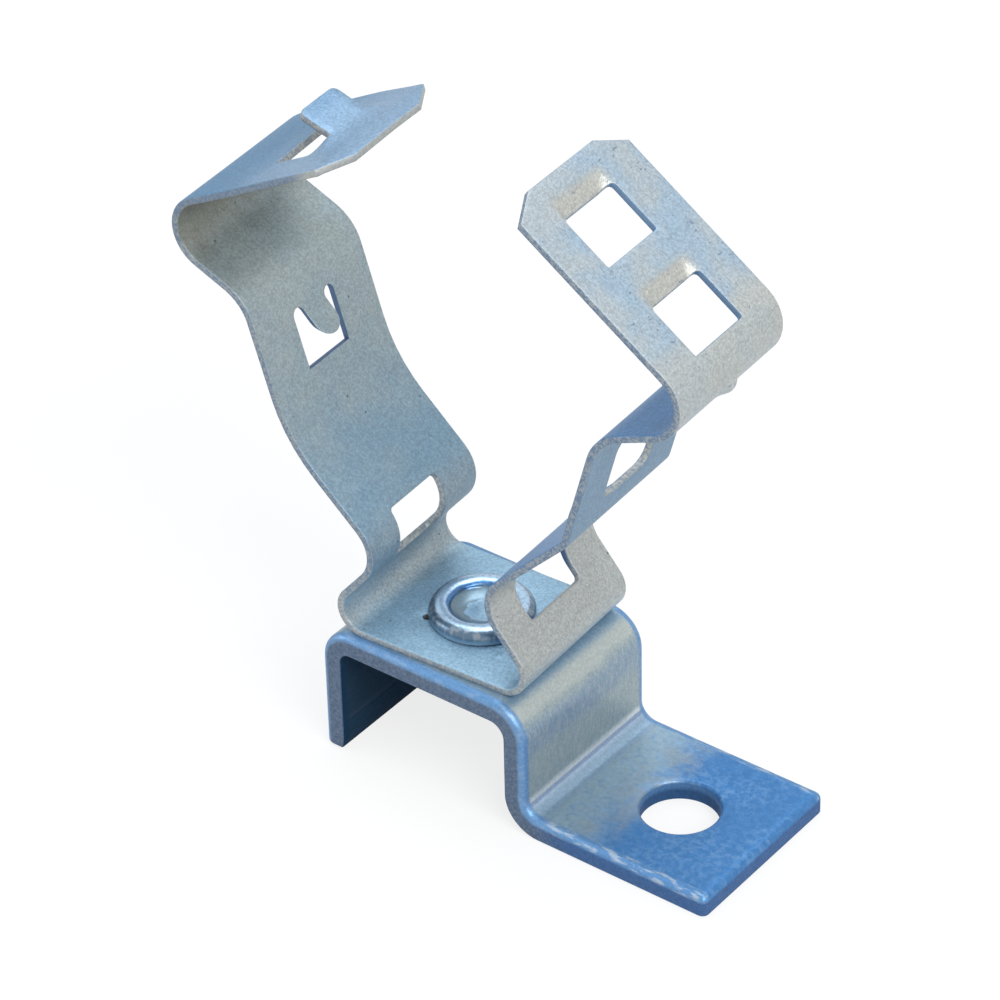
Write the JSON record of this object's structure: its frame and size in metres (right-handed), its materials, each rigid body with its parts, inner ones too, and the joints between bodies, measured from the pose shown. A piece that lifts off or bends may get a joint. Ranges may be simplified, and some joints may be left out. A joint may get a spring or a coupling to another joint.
{
  "type": "conduit clip",
  "caption": "Spring steel snap-around conduit clip with catch tab and windows, riveted so that it swivels on a folded offset bracket with a fixing hole.",
  "frame": {"origin": "centre of the fixing hole on the foot's underside, the plane that the part is fixed to", "axes": "+Z out of the fixing hole, away from the mounting plane; +X along the bracket from its leg to the foot's free end; +Y across the strip"},
  "size_m": [0.0686, 0.0222, 0.0761],
  "materials": {
    "zinc_plate": "bright zinc plating, mottled, slightly blue, rolled over at the sheared edges",
    "bright_rivet": "bright zinc plated, smooth",
    "spring_steel": "matte mechanical zinc over spring steel, fine sparkle"
  },
  "bodies": {
    "base": {"bracket": "zinc_plate", "rivet": "bright_rivet"},
    "clip": {"spring_clip": "spring_steel"}
  },
  "joints": [
    {"name": "clip_swivel", "type": "hinge", "parent": "base", "child": "clip", "pos_m": [-0.026, 0, 0.0158], "axis": [0, 0, 1], "continuous": true}
  ]
}
